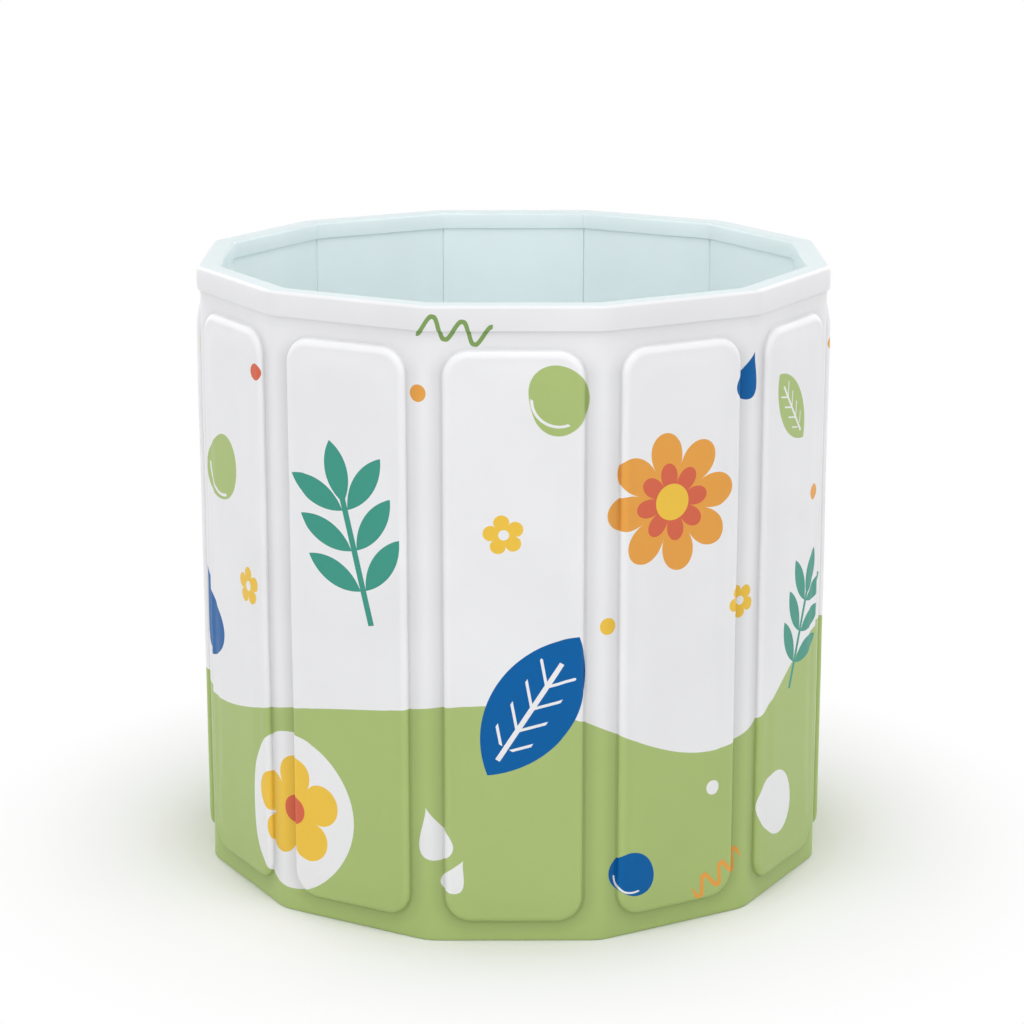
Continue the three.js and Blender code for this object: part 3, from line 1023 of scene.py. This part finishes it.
def liner_half_plan(wall, side):
    """The liner's end on one wall of a seam that opens: it turns out and reaches the cover."""
    thick = LINER_OUTER - LINER_INNER
    flap = SPLIT_GAP + thick

    def at(across, reach):
        return seam_point(wall, side * across, reach, 0)

    def face(across):
        return at(across, seam_reach(LINER_INNER, across) + seam_dip(across))

    deep = (COVER_INNER - 0.0004) / HALF_COS
    if wall == OPEN_SEAM:
        deep = seam_reach(TONGUE_OUTER - TONGUE, 0) - (FLAP_SWEEP if side > 0 else FLAP_CLEAR)
    plan = [face(place) for place in reversed(seam_places(0, SEAM_HALF)) if place > SPLIT_GAP]
    plan += [face(SPLIT_GAP), at(SPLIT_GAP, deep), at(flap, deep)]
    plan.append(at(flap, LINER_OUTER / HALF_COS + 0.4 * thick))
    return plan + [at(SEAM_HALF, seam_reach(LINER_OUTER, SEAM_HALF))]


def make_tongue():
    """A printed strip on one side of the open seam, which shows where the seam parts as the tub folds."""
    plan = sheet_plan(OPEN_SEAM, TONGUE_OUTER, TONGUE_OUTER - TONGUE, TONGUE_START, TONGUE_END)
    skin_piece("seam_tongue", plan, HEM_HEIGHT, PRINTED, body_name(OPEN_SEAM))


def make_cover_seam(wall):
    """One bending skin at most seams, and two halves at the open one.
    At an outward fold two halves lie under a thin bending skin, as a thick one would tear inside."""
    name = f"cover_seam_{pair_name(wall)}"
    depth = WEB if wall in OUTWARD_FOLDS else 0
    if wall == OPEN_SEAM or depth:
        for label, side, body in halves(wall):
            start, end = sorted((0, side * SEAM_HALF))
            plan = sheet_plan(wall, COVER_OUTER - depth, COVER_INNER, start, end)
            skin_piece(f"{name}_{label}", plan, HEM_HEIGHT, PRINTED, body)
    if wall != OPEN_SEAM:
        inner = COVER_OUTER - depth if depth else COVER_INNER
        plan = sheet_plan(wall, COVER_OUTER, inner, -SEAM_HALF, SEAM_HALF)
        bend(skin_piece(name, plan, HEM_HEIGHT, PRINTED))


def make_liner_seam(wall, split):
    name = f"liner_seam_{pair_name(wall)}"
    if split:
        for label, side, body in halves(wall):
            skin_piece(f"{name}_{label}", liner_half_plan(wall, side), LAYER_FOOT, LINER, body, False)
    else:
        plan = sheet_plan(wall, LINER_OUTER, LINER_INNER, -SEAM_HALF, SEAM_HALF, crease=True)
        bend(skin_piece(name, plan, LAYER_FOOT, LINER))


def make_seams():
    make_tongue()
    for wall in WALLS:
        split = wall == OPEN_SEAM or wall in OUTWARD_FOLDS
        make_cover_seam(wall)
        corner_pieces("hem_corner", wall, hem_profile(), PRINTED, split)
        make_liner_seam(wall, split)


def make_liners():
    for wall in WALLS:
        plan = []
        for apothem, shares in ((LINER_OUTER, spread(-1, 1, 12)), (LINER_INNER, spread(1, -1, 12))):
            plan += [wall_point(wall, share * wall_end(apothem), apothem, 0) for share in shares]
        skin = skin_piece(f"liner_panel_{wall:02d}", plan, LAYER_FOOT, LINER, body_name(wall), False)
        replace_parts(skin, f"liner_{wall:02d}")


# The soft floor: a sector on each wall, which draws up to that wall as the tub folds

FLOOR_REACH = LINER_INNER - 0.0006
WELD = 0.175
WELD_WIDTH = 0.006
WELD_DEPTH = 0.003
PUFF = 0.0022
FLOOR_UNDERSIDE = 0.0002


def floor_height(apothem):
    """The top of the floor at this distance from the axis, with one round weld."""
    weld = max(0, 1 - abs(apothem - WELD) / WELD_WIDTH)
    if apothem < WELD:
        puff = cos(pi / 2 * apothem / WELD)
    else:
        puff = sin(pi * (apothem - WELD) / (FLOOR_REACH - WELD))
    return FLOOR_TOP + PUFF * (puff - 1) * (1 - weld) - WELD_DEPTH * weld * weld * (3 - 2 * weld)


def make_floor():
    apothems = [0.0] + spread(0.03, WELD - WELD_WIDTH, 8)
    apothems += spread(WELD - WELD_WIDTH / 2, WELD + WELD_WIDTH / 2, 4)
    apothems += spread(WELD + WELD_WIDTH, FLOOR_REACH - 0.004, 9) + [FLOOR_REACH]
    section = [(a, floor_height(a)) for a in apothems]
    section += [(FLOOR_REACH, FLOOR_UNDERSIDE), (0.0, FLOOR_UNDERSIDE)]
    for wall in WALLS:
        rings = [[wall_point(wall, share * a * HALF_TAN, a, z) for a, z in section]
                 for share in spread(-1, 1, 10)]
        sector = new_piece(f"floor_sector_{wall:02d}", bridged(rings), LINER, body_name(wall), SHARP_SKIN)
        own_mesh(sector)
        if wall == 1:
            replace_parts(sector, "base_sheet", "floor_foam", "floor_liner")


# The drain, in the foot of its wall

DRAIN_WALL = 7
DRAIN_BODY = body_name(DRAIN_WALL)
fitting_low, fitting_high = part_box("drain_fitting")
nut_low, nut_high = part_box("drain_lock_nut")
plug_low, plug_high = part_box("drain_plug")
DRAIN_HEIGHT = (fitting_low.z + fitting_high.z) / 2
FLANGE_RADIUS = (fitting_high.x - fitting_low.x) / 2
FLANGE_THICKNESS = 0.0025
BORE_RADIUS = 0.008
TUBE_RADIUS = 0.0105
TUBE_HOLE_RADIUS = 0.0108
TUBE_CHAMFER = 0.0012
THREAD_PITCH = 0.0015
THREAD_DEPTH = 0.0005
THREAD_ROWS = 6
NUT_RADIUS = 0.018
NUT_CHAMFER = 0.0011
PLUG_RADIUS = 0.013
PLUG_HEAD = 0.003
PLUG_FIT = 0.0077
PLUG_TAPER = 0.0006
PLUG_RIB = 0.00022
TAB_HALF_WIDTH = 0.006
TAB_HALF_LENGTH = 0.0051
TAB_HALF_THICKNESS = 0.0015
TAB_HOLE = 0.0022
TAB_SQUARENESS = 0.62  # the power of the tab's outline: 1 is an ellipse, 0 a rectangle
PAD_SEAT_RADIUS = 0.023
PAD_SEAT_LIP = 0.0022
PAD_SEAT_LIP_DEPTH = 2.4 * PAD_SEAT_LIP
ROUND_STEPS = 72
ROUND_ANGLES = [2 * pi * step / ROUND_STEPS for step in range(ROUND_STEPS)]


def drain_point(radius, angle, reach):
    return wall_point(DRAIN_WALL, radius * cos(angle), reach, DRAIN_HEIGHT + radius * sin(angle))


def eased(corners, radius, steps=3):
    """A closed profile with each corner rounded off."""
    profile = []
    for i, corner in enumerate(corners):
        here = Vector(corner)
        before = Vector(corners[i - 1]) - here
        after = Vector(corners[(i + 1) % len(corners)]) - here
        start = here + before.normalized() * min(radius, before.length * 0.45)
        end = here + after.normalized() * min(radius, after.length * 0.45)
        for share in spread(0, 1, steps):
            profile.append(tuple(start.lerp(here, share).lerp(here.lerp(end, share), share)))
    return profile


def turned(name, node, profile, finish, radius_at=lambda radius, reach, angle: radius, body=DRAIN_BODY):
    """A piece in a node's place, turned about the drain's axis from a profile of (radius, reach)."""
    rings = [[drain_point(radius_at(radius, reach, angle), angle, reach) for radius, reach in profile]
             for angle in ROUND_ANGLES]
    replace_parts(new_piece(name, looped(rings), finish, body, 42), node)


def seat_section():
    """The room pressed into the pad round the outlet, with a rounded lip."""
    top = COVER_OUTER + PAD_RISE + 0.0008
    section = [(PAD_SEAT_RADIUS, COVER_OUTER), (PAD_SEAT_RADIUS, top - PAD_SEAT_LIP_DEPTH)]
    for share in spread(0.2, 1, 5):
        flare = PAD_SEAT_LIP * (1 - sqrt(1 - share * share))
        section.append((PAD_SEAT_RADIUS + flare, top - PAD_SEAT_LIP_DEPTH * (1 - share)))
    return section


def press_drain_seat(panel):
    """Presses the pad flat round the outlet and pierces the cover for the tube."""
    hole = [(TUBE_HOLE_RADIUS, COVER_INNER - PAD_RISE), (TUBE_HOLE_RADIUS, COVER_OUTER + PAD_RISE)]
    for section in (seat_section(), hole):
        loops = [[drain_point(radius, a, reach) for a in ROUND_ANGLES] for radius, reach in section]
        cutter = new_piece("cutter", bridged(loops), PRINTED)
        cut = panel.modifiers.new("cut", "BOOLEAN")
        cut.object = cutter
        cut.solver = "EXACT"
        bpy.context.view_layer.objects.active = panel
        bpy.ops.object.modifier_apply(modifier=cut.name)
        bpy.data.objects.remove(cutter)
    finish_mesh(panel, SHARP_SKIN)


def make_tube():
    """The flange inside and the threaded tube that passes through the wall."""
    start = fitting_low.y
    end = fitting_high.y
    neck = start + FLANGE_THICKNESS
    thread_start = COVER_OUTER + 0.0012
    thread_end = end - TUBE_CHAMFER
    rows = round((thread_end - thread_start) / THREAD_PITCH * THREAD_ROWS)
    corners = [(BORE_RADIUS, end), (BORE_RADIUS, start), (FLANGE_RADIUS, start), (FLANGE_RADIUS, neck)]
    profile = eased(corners + [(TUBE_RADIUS, neck)], 0.0008)
    profile += [(TUBE_RADIUS, reach) for reach in spread(thread_start, thread_end, rows)]
    profile.append((TUBE_RADIUS - 0.0008, end))

    def thread(radius, reach, angle):
        if radius != TUBE_RADIUS or reach < thread_start:
            return radius
        turn = reach / THREAD_PITCH - angle / (2 * pi)
        return radius - THREAD_DEPTH * (0.5 + 0.5 * cos(2 * pi * turn))

    turned("drain_tube", "drain_fitting", profile, PLASTIC, thread)


def make_lock_nut():
    start = nut_low.y
    end = nut_high.y
    side = pi / 3

    def six_sided(radius, reach, angle):
        if radius < NUT_RADIUS:
            return radius
        turn = (angle + side / 2) % side - side / 2
        flat = NUT_RADIUS * cos(side / 2) / cos(turn)
        return min(flat, NUT_RADIUS - NUT_CHAMFER + 1.7 * min(reach - start, end - reach))

    steps = (0, 0.0003, 0.0008, 0.0014)
    outer = [start + step for step in steps] + [end - step for step in reversed(steps)]
    profile = [(TUBE_HOLE_RADIUS, end), (TUBE_HOLE_RADIUS, start)]
    profile += [(NUT_RADIUS, reach) for reach in outer]
    turned("lock_nut", "drain_lock_nut", profile, PLASTIC, six_sided)


def make_ring(node):
    low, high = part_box(node)
    outer = (high.x - low.x) / 2
    corners = [(TUBE_HOLE_RADIUS, low.y), (outer, low.y), (outer, high.y), (TUBE_HOLE_RADIUS, high.y)]
    turned(f"{node}_ring", node, eased(corners, 0.0005), RUBBER)


def make_plug():
    """A stopper with two sealing ribs and a pull tab."""
    foot = plug_low.y
    under = fitting_high.y + 0.0003
    top = under + PLUG_HEAD
    dish = top - 0.0005
    corners = [(0, foot), (PLUG_FIT - PLUG_TAPER, foot), (PLUG_FIT, under), (PLUG_RADIUS, under)]
    corners += [(PLUG_RADIUS, top), (PLUG_RADIUS - 0.003, top), (PLUG_RADIUS - 0.0036, dish), (0, dish)]
    rounded = eased(corners, 0.0007)[4:-4]  # the two ends on the axis stay sharp
    ribs = []
    for reach in spread(foot + 0.001, under - 0.001, 24):
        share = (reach - foot) / (under - foot)
        rib = max(0, cos(4 * pi * share)) ** 3
        ribs.append((PLUG_FIT - PLUG_TAPER * (1 - share) + PLUG_RIB * rib, reach))
    tip = [point for point in rounded if point[1] <= foot + 0.0015]
    profile = [corners[0]] + tip + ribs + rounded[len(tip):] + [corners[-1]]
    turned("plug_stopper", "drain_plug", profile, PLUG, body="plug")
    make_tab(top + TAB_HALF_LENGTH - 0.0012)


def squared(value, half):
    return half * copysign(abs(value) ** TAB_SQUARENESS, value)


def make_tab(middle):
    """The pull tab: a flat oval plate with a hole for a finger or a string."""
    half = [(0, -0.4), (0.08, -1), (0.88, -1), (0.97, -0.6)]
    section = half + [(1, 0)] + [(share, -level) for share, level in reversed(half)]
    rings = []
    for angle in ROUND_ANGLES:
        wide = squared(cos(angle), TAB_HALF_WIDTH)
        far = squared(sin(angle), TAB_HALF_LENGTH)
        ring = []
        for share, level in section:
            across = TAB_HOLE * cos(angle) * (1 - share) + wide * share
            reach = middle + TAB_HOLE * sin(angle) * (1 - share) + far * share
            ring.append(wall_point(DRAIN_WALL, across, reach, DRAIN_HEIGHT + TAB_HALF_THICKNESS * level))
        rings.append(ring)
    new_piece("plug_tab", looped(rings), PLUG, "plug", 60)


def make_drain():
    make_tube()
    make_lock_nut()
    make_ring("drain_gasket")
    make_ring("drain_washer")
    make_plug()


def dress(name, material):
    """Gives a CAD node that stays its material."""
    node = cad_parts[name]
    node.data.materials.clear()
    node.data.materials.append(material)


# The stage: floor, light and camera

STAGE_REACH = 4.0
STAGE_SIDES = 48
SHADOW_REACH = (0.37, 0.66)  # where the floor starts and ends to turn white
WORLD_STRENGTH = 0.42
LIT_SPOT = Vector((0, 0, 0.35))
SIDE_LAMP = 3.0
TOP_LAMP = 1.8
CAMERA_PLACE = (-0.0017, -3.143, 1.170)
CAMERA_PITCH = 14.08
FOCAL_PIXELS = 2838
FRAME_PIXELS = 1024


def studio_floor():
    """A pale floor that turns white away from the tub, for the camera and in reflections."""
    edge = [outward(2 * pi * i / STAGE_SIDES) * STAGE_REACH for i in range(STAGE_SIDES)]
    faces = [(0, i + 1, (i + 1) % STAGE_SIDES + 1) for i in range(STAGE_SIDES)]
    floor = new_object("studio_floor", ([Vector()] + edge, faces))
    surface = Surface("studio_floor", 0.9, 0.0)
    surface.part("Base Color", linear(243, 243, 243))
    x, y, _ = surface.split(surface.own_place())
    far = far_out(x, y).ramp(*SHADOW_REACH, 0, 1)
    white = surface.node("Emission").outputs[0]
    output = surface.tree.nodes["Material Output"].inputs[0]
    surface.shown_where(far, surface.shader.outputs[0], white, output)
    floor.data.materials.append(surface.material)


def studio_world():
    world = bpy.data.worlds.new("studio")
    world.use_nodes = True
    sky = Nodes(world.node_tree)
    backdrop = sky.node("Background", Color=(1, 1, 1, 1), Strength=1).outputs[0]
    light = sky.tree.nodes["Background"]
    sky.feed(light.inputs["Color"], (1, 1, 1, 1))
    sky.feed(light.inputs["Strength"], WORLD_STRENGTH)
    sky.shown_where(1.0, light.outputs[0], backdrop, sky.tree.nodes["World Output"].inputs[0])
    bpy.context.scene.world = world


def soft_light(name, place, size, power):
    data = bpy.data.lights.new(name, "AREA")
    data.size = size
    data.energy = power
    light = linked(name, data)
    light.location = place
    light.rotation_euler = (LIT_SPOT - Vector(place)).to_track_quat("-Z", "Y").to_euler()


def studio_camera():
    data = bpy.data.cameras.new("camera")
    data.lens = data.sensor_width * FOCAL_PIXELS / FRAME_PIXELS
    camera = linked("camera", data)
    camera.location = CAMERA_PLACE
    camera.rotation_euler = (radians(90 - CAMERA_PITCH), 0, 0)
    bpy.context.scene.camera = camera


def make_studio():
    studio_floor()
    studio_world()
    soft_light("left", (-2.35, -2.35, 1.7), SIDE_LAMP, 38)
    soft_light("right", (2.35, -2.35, 1.7), SIDE_LAMP, 36)
    soft_light("back_left", (-2.3, 2.3, 1.7), SIDE_LAMP, 40)
    soft_light("back_right", (2.3, 2.3, 1.7), SIDE_LAMP, 40)
    soft_light("top", (0.0, -0.8, 3.15), TOP_LAMP, 27)
    studio_camera()
    bpy.context.scene.view_settings.view_transform = "Standard"


make_studio()
make_covers()
make_seams()
make_rim()
make_liners()
make_floor()
make_drain()
dress("drain_strainer", PLASTIC[0])
for wall in WALLS:
    dress(f"foam_board_{wall:02d}", FOAM)
